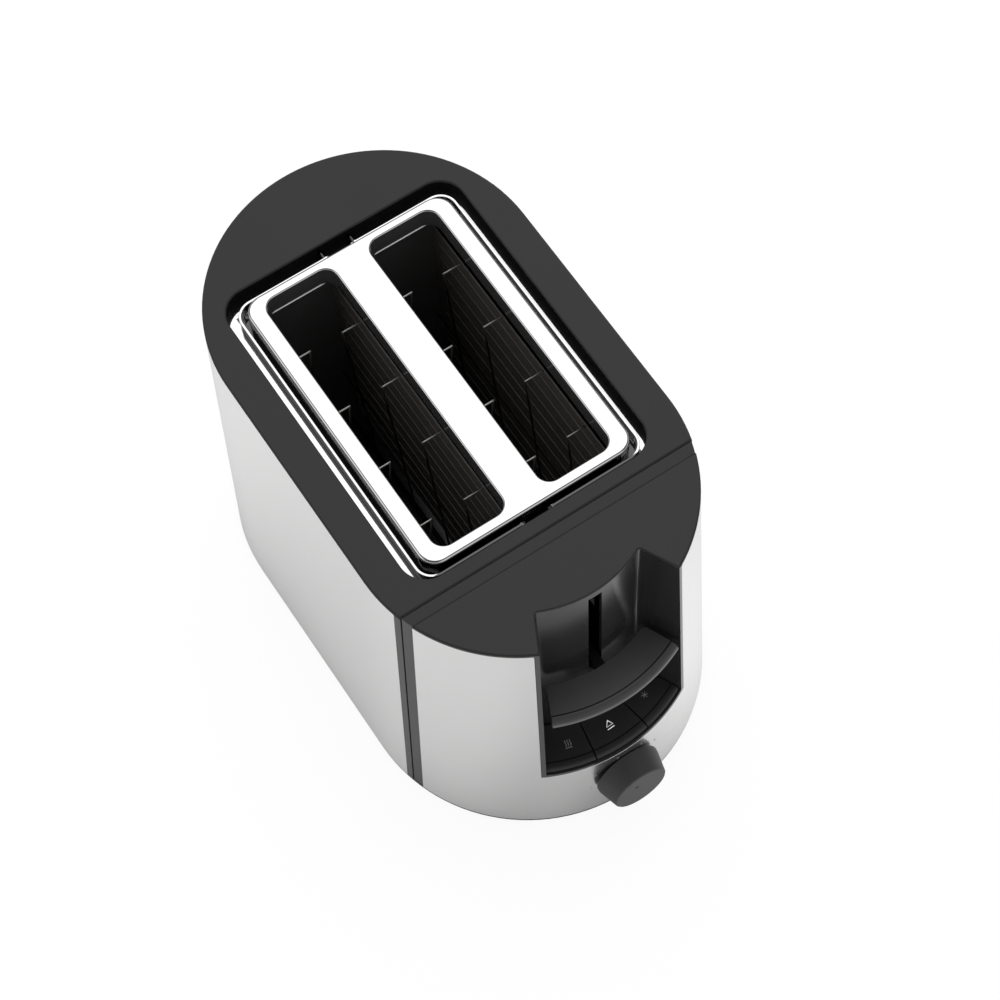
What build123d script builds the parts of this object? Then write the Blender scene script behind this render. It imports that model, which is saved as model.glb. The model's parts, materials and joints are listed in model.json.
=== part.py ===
import math
import os

from build123d import *

# Two-slot pop up toaster. Millimetres, +Z up, the control end looks towards -Y.

# Body outline: a stadium in plan, with walls that flare outwards on the way down
top_half_width = 80.0
end_centre = 58.4
cover_top = 195.2
wall_draft = 2.21

# Materials and general clearances
steel_wall = 0.8
sheet = 1.0
moulded_wall = 2.0
seat_gap = 0.3
slide_gap = 0.2
running_fit = 0.05

# Base
foot_height = 2.0
foot_radius = 8.0
foot_stud_radius = 3.0
foot_x = 52.0
foot_y = 88.0
base_lip = 2.0
base_lip_inset = 0.3
base_floor = 1.5
base_rim_height = 10.0
vent_length = 26.0
vent_width = 3.0
vent_pitch = 8.0
vent_count = 5
front_vent_count = 4

# Seam between the rear body and the control end
seam_y = -82.2
seam_gap = 0.4
rear_frame_depth = 3.4
front_frame_depth = 5.6
frame_wall = 7.0
frame_recess = 0.4
frame_bar_height = 5.6

# Top cover and its opening
cover_rim = 2.1
cover_bevel = 0.7
cover_lip_height = 6.0
opening_half_width = 63.2
opening_front = -74.7
opening_back = 97.0
opening_radius = 13.0
cover_edge = 0.5
cover_seam_edge = 0.8

# Polished slot plate with its sunk channel
plate_rise = 2.8
plate_half_width = 54.7
plate_front = -71.2
plate_back = 88.1
plate_radius = 9.0
plate_roll = 1.4
channel_depth = 8.5
channel_flange = 3.0
slot_inner = 9.45
slot_width = 36.45
slot_front = -65.6
slot_back = 83.6
slot_radius = 6.5
slot_roll = 0.9
liner_offset = 0.4
liner_sheet = 0.6
liner_hook_gap = 6.8

# Bun rails
rail_sheet = 1.3
rail_height = 6.0
rail_edge = 0.25
rail_side_gap = 2.4
rail_front_gap = 1.55
rail_back_gap = 1.5
rail_radius = 9.0
rail_floor_gap = 0.6
rail_pivot_x = 8.0
rail_pin_radius = 1.0

# Lever recess in the control end
recess_radius = 60.0
recess_half_angle = 27.0
recess_wall_angle = 1.5
recess_corner = 1.5
window_sill = 59.0
window_frame = 2.0
stem_slot_half = 3.5
stem_slot_gap = 1.0

# Lever, rest position down
lever_up_drop = 5.7
lever_height = 11.0
lever_back_gap = 5.2
lever_reach = 1.3
lever_half_angle = 24.2
lever_corner = 3.0
lip_depth = 4.0
lip_step = 0.4
lip_round = 3.6
lip_edge = 0.4
lip_undercut = 5.0
lever_grip_depth = 8.0
lever_travel = 68.0
arm_half = 2.2
arm_height = 9.0

# Carriage on its guide rod
rod_radius = 3.0
rod_y = -96.0
rod_boss_radius = 6.5
rod_boss_height = 6.5
bush_radius = 6.0
bush_length = 28.0
bush_low = 56.0
block_half_width = 14.0
block_half_depth = 7.0
wing_half_width = 33.0
wing_sheet = 3.0
wing_low = 48.0
wing_height = 14.0
shelf_height = 4.0
spring_wall = 1.5
spring_gap = 0.5

# Lift racks
rack_bar_width = 5.0
rack_bar_height = 3.0
rack_back = 84.0
rack_finger_radius = 1.2
rack_finger_reach = 12.0
rack_finger_count = 6

# Guard racks, hinged on their lower wires and closed at rest
guard_wire = 0.5
guard_knuckle = 0.6
guard_axle = 1.2
guard_axle_z = 44.0
guard_hook_drop = 7.7
guard_inset_open = 1.45
guard_swing = 8.0
guard_hook_overlap = 0.6
guard_wire_count = 4
guard_wire_pitch = 34.4
guard_mid_drop = 66.0

# Heating chamber
front_bulkhead_y = -73.0
rear_bulkhead_y = 89.3
bulkhead_half_width = 64.0
bulkhead_flange = 9.0
bulkhead_slot_gap = 0.6
board_sheet = 0.8
board_low = 48.0
board_top_drop = 13.7
board_slot_gap = 2.6
ribbon_width = 2.2
ribbon_sheet = 0.3
ribbon_runs = 9
ribbon_margin = 9.0
reflector_x = 58.0
reflector_sheet = 0.6

# Hold-down magnet
magnet_x = 24.0
magnet_half_width = 8.0
magnet_half_depth = 5.0
magnet_leg = 5.0
magnet_pedestal = 6.5
magnet_height = 27.0
coil_wall = 1.6
coil_height = 14.0
armature_sheet = 2.8
armature_gap = 0.2
armature_post = 4.0

# Mains contacts
contact_x = 42.0
contact_width = 12.0
contact_depth = 8.0
contact_low = 44.0
contact_height = 16.0
blade_width = 3.0
blade_sheet = 0.6
blade_reach = 12.0
blade_pitch = 6.0

# Buttons
button_top = 61.5
button_height = 7.5
button_back_gap = 1.0
button_gap = 0.6
button_split_angle = 10.0
button_bead_depth = 4.0
button_bead_step = 0.3
button_bead_round = 2.2
button_travel = 1.5
button_stem_radius = 1.6
button_stem_length = 5.0
button_stem_reach = 11.0
switch_half = 3.5
switch_drop = 0.8
board_thickness = 1.6
button_board_low = 44.0

# Browning control
knob_z = 33.5
knob_base_radius = 17.0
knob_face_radius = 13.8
knob_depth = 12.5
knob_skirt = 2.0
knob_wall_gap = 0.3
knob_pip_radius = 0.9
knob_pip_r = 5.2
knob_pip_angle = 26.0
shaft_radius = 3.0
shaft_hole_gap = 1.0
shaft_grip = 10.0
pot_half_width = 8.0
pot_depth = 8.4
pot_height = 11.0
main_board_y = -118.0
main_board_half_width = 38.0
main_board_height = 38.0

# Crumb tray
tray_half_width = 49.0
tray_front = -70.0
tray_sheet = 0.8
tray_wall = 5.0
tray_handle_top = 17.0
tray_handle_wall = 3.0
tray_grip_radius = 14.0
tray_grip_depth = 1.6

# Mains inlet
gland_angle = 128.0
gland_z = 24.0
gland_bore = 3.4
gland_barrel = 5.5
gland_flange = 8.5
gland_flange_sheet = 2.0
gland_length = 12.0
terminal_x = 36.0
terminal_width = 26.0
terminal_depth = 14.0
terminal_low = 24.0
terminal_height = 15.0
terminal_poles = 3
terminal_hole_radius = 2.2

# Screws
screw_radius = 1.5
screw_head_radius = 3.0
screw_head = 1.4
screw_edge = 1.0
screw_length = 9.0
flange_screw_length = 4.0

# Levels and places that follow from the sizes above
base_low = foot_height
shell_low = base_low + base_lip
floor_top = shell_low + base_floor
shell_top = cover_top - cover_rim
channel_floor = cover_top - channel_depth
channel_under = channel_floor - sheet
plate_top = cover_top + plate_rise
board_high = channel_under - board_top_drop
guard_hook_z = channel_under - guard_hook_drop
guard_mid_z = guard_hook_z - guard_mid_drop
lever_top = cover_top - lever_up_drop - lever_travel
slot_centre_x = slot_inner + slot_width / 2
slot_outer = slot_inner + slot_width
slot_middle_y = (slot_front + slot_back) / 2
rear_frame_front = seam_y + seam_gap / 2
rear_frame_back = rear_frame_front + rear_frame_depth
front_frame_back = seam_y - seam_gap / 2
front_frame_front = front_frame_back - front_frame_depth
rear_shell_front = rear_frame_back + seam_gap / 2
front_shell_back = front_frame_front - seam_gap / 2
front_bulkhead_back = front_bulkhead_y + sheet
tray_floor = floor_top + slide_gap
guard_open_inner = slot_inner + guard_inset_open
guard_open_outer = slot_outer - guard_inset_open
guard_rise = guard_hook_z - guard_axle_z
guard_tilt = math.degrees(math.asin(guard_swing / guard_rise))
board_inner_x = slot_inner - board_slot_gap
board_outer_x = slot_outer + board_slot_gap
block_front = rod_y - block_half_depth
block_back = rod_y + block_half_depth
wing_back = block_back + wing_sheet
lever_inner = recess_radius + lever_back_gap
button_inner = recess_radius + button_back_gap
button_stem_r = button_inner + button_stem_reach
stem_top = lever_top - (lever_height - arm_height) / 2
stem_slot_top = stem_top + lever_travel + stem_slot_gap
top_boss_low = stem_top + lever_travel + seat_gap
sill_low = window_sill - window_frame
switch_top = button_top - button_height - button_travel - switch_drop
button_board_top = button_board_low + board_thickness
pot_front = main_board_y - board_thickness - pot_depth
pot_low = knob_z - pot_height / 2


def wall_radius(z):
    return top_half_width + (cover_top - z) * math.tan(math.radians(wall_draft))


# The knob's axis stands square on the drafted wall
knob_foot_y = -end_centre - wall_radius(knob_z)
knob_out_y = -math.cos(math.radians(wall_draft))
knob_out_z = math.sin(math.radians(wall_draft))
knob_front = knob_wall_gap + knob_depth
body_front = knob_foot_y + knob_front * knob_out_y - knob_face_radius * knob_out_z
body_back = end_centre + wall_radius(shell_low)
frame_shift = -(body_front + body_back) / 2
reach_all = 2 * body_back


# Helpers
def block(x0, x1, y0, y1, z0, z1):
    size = Box(x1 - x0, y1 - y0, z1 - z0)
    return Pos((x0 + x1) / 2, (y0 + y1) / 2, (z0 + z1) / 2) * size


def post(x, y, radius, z0, z1):
    return Pos(x, y, (z0 + z1) / 2) * Cylinder(radius, z1 - z0)


def rod_between(start, end, radius):
    start = Vector(*start)
    along = Vector(*end) - start
    return extrude(Plane(origin=start, z_dir=along) * Circle(radius), along.length)


def hull(inset, low, high):
    outline = SlotCenterToCenter(2 * end_centre, 2 * (wall_radius(low) - inset), rotation=90)
    return extrude(Pos(0, 0, low) * outline, high - low, taper=wall_draft)


def hull_ring(outer_inset, inner_inset, low, high):
    return hull(outer_inset, low, high) - hull(inner_inset, low, high)


def between(y0, y1):
    return block(-reach_all, reach_all, y0, y1, -reach_all, reach_all)


def behind(y):
    return between(y, reach_all)


def ahead(y):
    return between(-reach_all, y)


def ring_sector(profile, start_angle, end_angle, nose=None, nose_radius=0):
    # profile in (radius, height); angles from -Y towards +X about the front end's centre
    face = make_face(Plane.XZ * Polyline(*profile, close=True))
    if nose:
        corner = face.vertices().sort_by_distance((nose[0], 0, nose[1]))[0]
        face = fillet(corner, nose_radius)
    turned = revolve(face, Axis.Z, end_angle - start_angle)
    return Pos(0, -end_centre, 0) * Rot(0, 0, start_angle - 90) * turned


def sector(inner, outer, half_angle, low, high):
    profile = [(inner, low), (outer, low), (outer, high), (inner, high)]
    return ring_sector(profile, -half_angle, half_angle)


def rounded_slab(half_width, front, back, radius, low, high):
    outline = RectangleRounded(2 * half_width, back - front, radius)
    return extrude(Pos(0, (front + back) / 2, low) * outline, high - low)


def top_face(piece):
    return piece.faces().sort_by(Axis.Z)[-1]


def inner_edges(piece):
    return [edge for wire in top_face(piece).inner_wires() for edge in wire.edges()]


def both_sides(piece):
    return piece + mirror(piece, Plane.YZ)


# Base
def make_base_pan():
    pan = hull(base_lip_inset, base_low, shell_low)
    inner = steel_wall + seat_gap
    pan += hull(inner, shell_low, floor_top)
    rim = hull_ring(inner, inner + moulded_wall, shell_low, floor_top + base_rim_height)
    rim -= between(front_frame_front - seat_gap, rear_frame_back + seat_gap)
    tray_side = tray_half_width + seat_gap
    rim -= block(-tray_side, tray_side, end_centre, body_back, shell_low, tray_handle_top + seat_gap)
    pan += rim
    leg_pocket = hull_ring(0, frame_wall + frame_recess + seat_gap, shell_low, floor_top)
    pan -= leg_pocket & between(front_frame_front - seat_gap, rear_frame_back + seat_gap)
    handle_pocket = hull_ring(0, tray_handle_wall + seat_gap, shell_low, floor_top)
    pan -= handle_pocket & block(-tray_side, tray_side, end_centre, body_back, shell_low, floor_top)
    pan += post(0, rod_y, rod_boss_radius, floor_top, floor_top + rod_boss_height)
    pan -= post(0, rod_y, rod_radius + running_fit, floor_top, floor_top + rod_boss_height)
    pan += block(magnet_x - magnet_half_width, magnet_x + magnet_half_width, rod_y - magnet_half_depth,
                 rod_y + magnet_half_depth, floor_top, floor_top + magnet_pedestal)
    for x, y in foot_places():
        pan -= post(x, y, foot_stud_radius + running_fit, base_low, floor_top)
    for x, y in frame_screw_places():
        pan -= post(x, y, screw_head_radius + running_fit, base_low, base_low + screw_head)
        pan -= post(x, y, screw_radius + running_fit, base_low, floor_top)
    for x, y in flange_screw_places():
        pan -= post(x, y, screw_radius + running_fit, base_low, floor_top)
    for step in range(front_vent_count):
        y = rod_y - rod_boss_radius - vent_pitch * (step + 1)
        pan -= block(-vent_length / 2, vent_length / 2, y - vent_width / 2, y + vent_width / 2,
                     base_low, floor_top)
    first = -(vent_count - 1) / 2
    for step in range(vent_count):
        x = vent_pitch * (first + step)
        pan -= block(x - vent_width / 2, x + vent_width / 2, slot_middle_y, slot_middle_y + vent_length,
                     base_low, floor_top)
    return pan


def foot_places():
    return [(x, y) for x in (-foot_x, foot_x) for y in (-foot_y, foot_y)]


def frame_screw_places():
    y = (front_frame_front + front_frame_back) / 2
    leg = frame_leg_x(y)
    return [(-leg, y), (leg, y)]


def frame_leg_x(y):
    reach = wall_radius(shell_low) - base_lip_inset - screw_edge - screw_head_radius
    return math.sqrt(reach ** 2 - (y + end_centre) ** 2)


def flange_screw_places():
    x = bulkhead_half_width - screw_head_radius - sheet
    front = front_bulkhead_y - bulkhead_flange / 2
    rear = rear_bulkhead_y + sheet + bulkhead_flange / 2
    return [(-x, front), (x, front), (-x, rear), (x, rear)]


def make_feet():
    feet = []
    for x, y in foot_places():
        foot = post(x, y, foot_radius, 0, base_low)
        foot += post(x, y, foot_stud_radius, base_low, floor_top)
        feet.append(foot)
    return Compound(feet)


def make_base_screws():
    screws = []
    for x, y in frame_screw_places():
        screw = post(x, y, screw_head_radius, base_low, base_low + screw_head)
        screw += post(x, y, screw_radius, base_low + screw_head, base_low + screw_head + screw_length)
        screws.append(screw)
    return Compound(screws)


def make_chassis_screws():
    screws = []
    seat = floor_top + sheet
    for x, y in flange_screw_places():
        screw = post(x, y, screw_head_radius, seat, seat + screw_head)
        screw += post(x, y, screw_radius, seat - flange_screw_length, seat)
        screws.append(screw)
    return Compound(screws)


# Steel wraps and the two hoops at the seam
def make_rear_shell():
    shell = hull_ring(0, steel_wall, shell_low, shell_top) & behind(rear_shell_front)
    notch = tray_half_width + seat_gap
    shell -= block(-notch, notch, end_centre, body_back + seat_gap, shell_low - seat_gap,
                   tray_handle_top + seat_gap)
    return shell - gland_post(gland_barrel + slide_gap)


def make_front_shell():
    shell = hull_ring(0, steel_wall, shell_low, shell_top) & ahead(front_shell_back)
    window = sector(recess_radius, reach_all, recess_half_angle + recess_wall_angle + slide_gap,
                    sill_low - slide_gap, cover_top)
    shell -= window
    return shell - along_knob(shaft_radius + shaft_hole_gap, knob_reach(pot_front), knob_front)


def make_rear_frame():
    hoop = hull(0, shell_low, shell_top) & between(rear_frame_front, rear_frame_back)
    return hoop - hull(frame_wall, shell_low, shell_top - frame_bar_height)


def make_front_frame():
    hoop = hull(frame_recess, shell_low, cover_top - frame_recess)
    hoop &= between(front_frame_front, front_frame_back)
    hoop -= hull(frame_wall + frame_recess, shell_low, shell_top - frame_bar_height)
    for x, y in frame_screw_places():
        hoop -= post(x, y, screw_radius + running_fit, shell_low, base_low + screw_head + screw_length)
    return hoop


# Covers
def make_cover_rim():
    rim = hull(0, shell_top, cover_top - cover_bevel)
    edge = wall_radius(cover_top - cover_bevel)
    outline = SlotCenterToCenter(2 * end_centre, 2 * edge, rotation=90)
    return rim + extrude(Pos(0, 0, cover_top - cover_bevel) * outline, cover_bevel, taper=45)


def make_top_cover():
    inner = steel_wall + seat_gap
    cover = make_cover_rim() & behind(rear_frame_front)
    lip = hull_ring(inner, inner + moulded_wall, shell_top - cover_lip_height, shell_top)
    cover += lip & behind(rear_shell_front)
    cover += rounded_slab(opening_half_width + moulded_wall, opening_front - moulded_wall,
                          opening_back + moulded_wall, opening_radius + moulded_wall,
                          channel_floor, shell_top)
    cover -= rounded_slab(opening_half_width, opening_front, opening_back, opening_radius,
                          channel_floor, cover_top)
    cover = chamfer(inner_edges(cover), cover_edge)
    groove = math.sqrt(2) * cover_seam_edge
    cover -= Pos(0, rear_frame_front, cover_top) * Rot(45, 0, 0) * Box(2 * reach_all, groove, groove)
    for x in (-rail_pivot_x, rail_pivot_x):
        cover -= rail_pin(x, rail_pin_radius + running_fit)
    return cover


def make_front_cover():
    inner = steel_wall + seat_gap
    cover = make_cover_rim()
    cover += hull_ring(inner, inner + moulded_wall, shell_top - cover_lip_height, shell_top)
    outer_angle = recess_half_angle + recess_wall_angle
    cover -= sector(recess_radius - moulded_wall, reach_all, outer_angle, 0, cover_top)
    walls = sector(recess_radius - moulded_wall, reach_all, outer_angle, button_board_top, cover_top)
    room = sector(recess_radius, reach_all, recess_half_angle, button_board_top, cover_top)
    corners = room.edges().filter_by(Axis.Z).sort_by(Axis.Y)[-2:]
    room = fillet(corners, recess_corner)
    walls -= room
    upper = walls & make_recess_envelope()
    lower = walls & hull(inner, button_board_top, sill_low)
    sill = sector(recess_radius, reach_all, outer_angle, sill_low, window_sill)
    sill &= hull_ring(0, steel_wall + slide_gap, sill_low, window_sill)
    cover += upper
    cover += lower
    cover += sill
    cover &= ahead(front_shell_back)
    rim = [edge for edge in top_face(cover).edges() if room.distance_to(edge.center()) < seat_gap]
    cover = chamfer(rim, cover_edge)
    cover -= block(-stem_slot_half, stem_slot_half, -end_centre - recess_radius, -end_centre,
                   lever_top - lever_height, stem_slot_top)
    cover += post(0, rod_y, rod_boss_radius, top_boss_low, shell_top)
    return cover - post(0, rod_y, rod_radius + running_fit, top_boss_low, shell_top)


def make_recess_envelope():
    body = hull(0, sill_low, cover_top - cover_bevel)
    return body + make_cover_rim()


# Slot plate
def make_slot_plate():
    plate = rounded_slab(plate_half_width, plate_front, plate_back, plate_radius, channel_under, plate_top)
    plate = fillet(plate.faces().sort_by(Axis.Z)[-1].edges(), plate_roll)
    flange = opening_half_width + channel_flange
    plate += rounded_slab(flange, opening_front - channel_flange, opening_back + channel_flange,
                          opening_radius + channel_flange, channel_under, channel_floor)
    hollow = rounded_slab(plate_half_width - sheet, plate_front + sheet, plate_back - sheet,
                          plate_radius - sheet, channel_under, plate_top - sheet)
    hollow = fillet(hollow.faces().sort_by(Axis.Z)[-1].edges(), plate_roll - sheet)
    plate -= hollow
    for side in (-1, 1):
        outline = RectangleRounded(slot_width, slot_back - slot_front, slot_radius)
        plate -= extrude(Pos(side * slot_centre_x, slot_middle_y, channel_under) * outline,
                         plate_top - channel_under)
    return fillet(inner_edges(plate), slot_roll)


def make_slot_liners():
    liners = []
    low = guard_hook_z + guard_wire + liner_hook_gap
    high = plate_top - sheet
    for side in (-1, 1):
        outer = liner_offset + liner_sheet
        tube = liner_prism(side, outer, low, high) - liner_prism(side, liner_offset, low, high)
        liners.append(tube)
    return Compound(liners)


def liner_prism(side, growth, low, high):
    length = slot_back - slot_front + 2 * growth
    outline = RectangleRounded(slot_width + 2 * growth, length, slot_radius + growth)
    return extrude(Pos(side * slot_centre_x, slot_middle_y, low) * outline, high - low)


# Bun rails
def rail_axis_z():
    return channel_floor + rail_floor_gap + rail_height / 2


def rail_front_y():
    return plate_front - rail_front_gap - rail_sheet / 2


def rail_back_y():
    return plate_back + rail_back_gap + rail_sheet / 2


def rail_pin(x, radius):
    z = rail_axis_z()
    front = rod_between((x, rail_front_y(), z), (x, opening_front - moulded_wall, z), radius)
    back = rod_between((x, rail_back_y(), z), (x, opening_back + moulded_wall, z), radius)
    return front + back


def make_bun_rail(side):
    half = plate_half_width + rail_side_gap + rail_sheet
    front = rail_front_y() - rail_sheet / 2
    back = rail_back_y() + rail_sheet / 2
    low = channel_floor + rail_floor_gap
    rail = rounded_slab(half, front, back, rail_radius, low, low + rail_height)
    rail -= rounded_slab(half - rail_sheet, front + rail_sheet, back - rail_sheet,
                         rail_radius - rail_sheet, low, low + rail_height)
    rail = fillet(top_face(rail).edges(), rail_edge)
    reach = side * 2 * half
    rail &= block(min(side * rail_pivot_x, reach), max(side * rail_pivot_x, reach), front, back,
                  low, low + rail_height)
    x = side * rail_pivot_x
    for y in (rail_front_y(), rail_back_y()):
        rail += rod_between((x, y - rail_sheet / 2, rail_axis_z()), (x, y + rail_sheet / 2, rail_axis_z()),
                            rail_height / 2)
    return rail + rail_pin(x, rail_pin_radius)


# Lever and carriage
def make_lever_handle():
    outer = wall_radius(lever_top) + lever_reach
    low = lever_top - lever_height
    nose = (outer, lever_top - lip_step)
    profile = [(lever_inner, low), (outer - lip_undercut, low),
               (outer, lever_top - lip_step - lip_round - lip_edge), nose,
               (outer - lip_depth, lever_top - lip_step),
               (outer - lip_depth, lever_top), (lever_inner, lever_top)]
    handle = ring_sector(profile, -lever_half_angle, lever_half_angle, nose, lip_round)
    upright = handle.edges().filter_by(Axis.Z).sort_by(Axis.Y)
    handle = fillet(upright[-2:], lever_corner)
    return handle - arm_block(lever_grip_depth + running_fit, running_fit)


def arm_block(grip, growth):
    front = -end_centre - lever_inner - grip
    return block(-arm_half - growth, arm_half + growth, front, block_front,
                 stem_top - arm_height - growth, stem_top + growth)


def make_lever_arm():
    return arm_block(lever_grip_depth, 0)


def make_carriage_bridge():
    bridge = block(-block_half_width, block_half_width, block_front, block_back, bush_low, stem_top)
    bridge += block(-wing_half_width, wing_half_width, block_back, wing_back, wing_low,
                    wing_low + wing_height)
    bridge += block(-block_half_width, wing_half_width, block_front, wing_back, wing_low,
                    wing_low + shelf_height)
    bridge += block(-block_half_width, block_half_width, block_front, block_back, wing_low, bush_low)
    return bridge - post(0, rod_y, bush_radius + running_fit, wing_low, stem_top)


def make_slide_bush():
    bush = post(0, rod_y, bush_radius, bush_low, bush_low + bush_length)
    return bush - post(0, rod_y, rod_radius + running_fit, bush_low, bush_low + bush_length)


def make_guide_rod():
    return post(0, rod_y, rod_radius, floor_top, shell_top)


def make_return_spring():
    inner = rod_radius + spring_gap
    low = floor_top + rod_boss_height
    spring = post(0, rod_y, inner + spring_wall, low, bush_low)
    return spring - post(0, rod_y, inner, low, bush_low)


def make_lift_rack(side):
    x = side * slot_centre_x
    rack = block(x - rack_bar_width / 2, x + rack_bar_width / 2, wing_back, rack_back, wing_low,
                 wing_low + rack_bar_height)
    z = wing_low + rack_bar_height / 2
    span = slot_back - slot_front
    for step in range(rack_finger_count):
        y = slot_front + span * (step + 0.5) / rack_finger_count
        rack += rod_between((x - rack_finger_reach, y, z), (x + rack_finger_reach, y, z), rack_finger_radius)
    return rack


# Guard racks
def make_guard_rack(axle_x, inward, hook_end):
    # inward is the sign of the lean from the hinge to the hook end of the wires
    axle = (axle_x, front_bulkhead_y, guard_axle_z), (axle_x, rear_bulkhead_y + sheet, guard_axle_z)
    guard = rod_between(*axle, guard_axle)
    lean = inward * guard_swing / math.cos(math.radians(guard_tilt))
    top_x = axle_x + lean
    mid_x = axle_x + lean * (guard_mid_z - guard_axle_z) / guard_rise
    half_count = (guard_wire_count - 1) / 2
    rows = [slot_middle_y + guard_wire_pitch * (step - half_count) for step in range(guard_wire_count)]
    for y in rows:
        guard += rod_between((axle_x, y, guard_axle_z), (top_x, y, guard_hook_z), guard_wire)
        guard += Pos(top_x, y, guard_hook_z) * Sphere(guard_knuckle)
        guard += rod_between((top_x, y, guard_hook_z), (hook_end, y, guard_hook_z), guard_wire)
    rail_front = rows[0] - guard_wire_pitch / 2
    rail_back = rows[-1] + guard_wire_pitch / 2
    return guard + rod_between((mid_x, rail_front, guard_mid_z), (mid_x, rail_back, guard_mid_z), guard_wire)


def guard_hook_reach(slot_edge, outward):
    return slot_edge + outward * guard_hook_overlap


# Heating chamber
def make_bulkhead(y, flange_direction, with_rack_slots):
    half = bulkhead_half_width
    plate = block(-half, half, y, y + sheet, floor_top, channel_under)
    edge = y if flange_direction < 0 else y + sheet
    foot = edge + flange_direction * bulkhead_flange
    flange_inner = tray_half_width + 2 * seat_gap
    flange = block(flange_inner, half, min(edge, foot), max(edge, foot), floor_top, floor_top + sheet)
    plate += both_sides(flange)
    for x, hole_y in flange_screw_places():
        plate -= post(x, hole_y, screw_radius + running_fit, floor_top, floor_top + sheet)
    for x in (guard_open_inner, guard_open_outer):
        for side in (-1, 1):
            plate -= rod_between((side * x, y, guard_axle_z), (side * x, y + sheet, guard_axle_z),
                                 guard_axle + running_fit)
    if with_rack_slots:
        slot = rack_bar_width / 2 + bulkhead_slot_gap
        for side in (-1, 1):
            x = side * slot_centre_x
            plate -= block(x - slot, x + slot, y, y + sheet, wing_low - bulkhead_slot_gap,
                           wing_low + rack_bar_height + lever_travel + bulkhead_slot_gap)
    else:
        tray_side = tray_half_width + seat_gap
        plate -= block(-tray_side, tray_side, y, y + sheet, floor_top,
                       tray_floor + tray_sheet + tray_wall + seat_gap)
    return plate


def make_heater_board(x):
    return block(x - board_sheet / 2, x + board_sheet / 2, front_bulkhead_back, rear_bulkhead_y,
                 board_low, board_high)


def make_heater_ribbon(x, facing):
    front = slot_front
    back = slot_back
    low = board_low + ribbon_margin
    high = board_high - ribbon_margin
    pitch = (high - low - ribbon_width) / (ribbon_runs - 1)
    face = x + facing * board_sheet / 2
    near = min(face, face + facing * ribbon_sheet)
    far = max(face, face + facing * ribbon_sheet)
    ribbon = None
    for run in range(ribbon_runs):
        z = low + pitch * run
        strip = block(near, far, front, back, z, z + ribbon_width)
        ribbon = strip if ribbon is None else ribbon + strip
        if run < ribbon_runs - 1:
            end = back - ribbon_width if run % 2 == 0 else front
            ribbon += block(near, far, end, end + ribbon_width, z, z + pitch + ribbon_width)
    return ribbon


def make_reflector(side):
    near = side * reflector_x
    far = side * (reflector_x + reflector_sheet)
    return block(min(near, far), max(near, far), front_bulkhead_back, rear_bulkhead_y,
                 guard_axle_z, board_high)


# Hold-down magnet and contacts
def make_magnet_core():
    low = floor_top + magnet_pedestal
    core = block(magnet_x - magnet_half_width, magnet_x + magnet_half_width, rod_y - magnet_half_depth,
                 rod_y + magnet_half_depth, low, low + magnet_height)
    inner = magnet_half_width - magnet_leg
    return core - block(magnet_x - inner, magnet_x + inner, rod_y - magnet_half_depth,
                        rod_y + magnet_half_depth, low + magnet_leg, low + magnet_height)


def make_magnet_coil():
    leg_low = magnet_x + magnet_half_width - magnet_leg
    leg_high = magnet_x + magnet_half_width
    low = floor_top + magnet_pedestal + magnet_leg
    coil = block(leg_low - coil_wall, leg_high + coil_wall, rod_y - magnet_half_depth - coil_wall,
                 rod_y + magnet_half_depth + coil_wall, low, low + coil_height)
    return coil - block(leg_low, leg_high, rod_y - magnet_half_depth, rod_y + magnet_half_depth,
                        low, low + coil_height)


def make_armature():
    low = floor_top + magnet_pedestal + magnet_height + armature_gap
    plate = block(magnet_x - magnet_half_width, magnet_x + magnet_half_width, rod_y - magnet_half_depth,
                  rod_y + magnet_half_depth, low, low + armature_sheet)
    return plate + post(magnet_x, rod_y, armature_post, low + armature_sheet, wing_low)


def make_contact_block():
    half = contact_width / 2
    return block(contact_x - half, contact_x + half, front_bulkhead_y - contact_depth, front_bulkhead_y,
                 contact_low, contact_low + contact_height)


def make_contact_blades():
    blades = []
    front = front_bulkhead_y - contact_depth
    z = contact_low + contact_height
    for offset in (-blade_pitch / 2, blade_pitch / 2):
        x = contact_x + offset
        blade = block(x - blade_width / 2, x + blade_width / 2, front - blade_reach, front_bulkhead_y,
                      z, z + blade_sheet)
        blades.append(blade)
    return Compound(blades)


# Buttons
def make_button(start_angle, end_angle, middle_angle):
    outer = wall_radius(window_sill) - steel_wall - seat_gap - slide_gap
    low = button_top - button_height
    nose = (outer, button_top - button_bead_step)
    bead_back = outer - button_bead_depth
    profile = [(button_inner, low), (outer, low), nose, (bead_back, button_top - button_bead_step),
               (bead_back, button_top), (button_inner, button_top)]
    half_gap = math.degrees(button_gap / 2 / button_stem_r)
    button = ring_sector(profile, start_angle + half_gap, end_angle - half_gap, nose, button_bead_round)
    x, y = button_place(middle_angle)
    return button + post(x, y, button_stem_radius, low - button_stem_length, low)


def button_place(angle):
    turn = math.radians(angle)
    return button_stem_r * math.sin(turn), -end_centre - button_stem_r * math.cos(turn)


def side_button_angle():
    return (recess_half_angle + button_split_angle) / 2


def make_button_board():
    outer = wall_radius(button_board_low) - steel_wall - 2 * seat_gap
    angle = recess_half_angle + recess_wall_angle
    return sector(recess_radius - moulded_wall, outer, angle, button_board_low, button_board_top)


def make_tact_switches():
    switches = []
    for angle in (-side_button_angle(), 0, side_button_angle()):
        x, y = button_place(angle)
        switch = block(x - switch_half, x + switch_half, y - switch_half, y + switch_half,
                       button_board_top, switch_top)
        stem_end = button_top - button_height - button_stem_length - button_travel - seat_gap
        switches.append(switch - post(x, y, button_stem_radius + running_fit, stem_end, switch_top))
    return Compound(switches)


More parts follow.
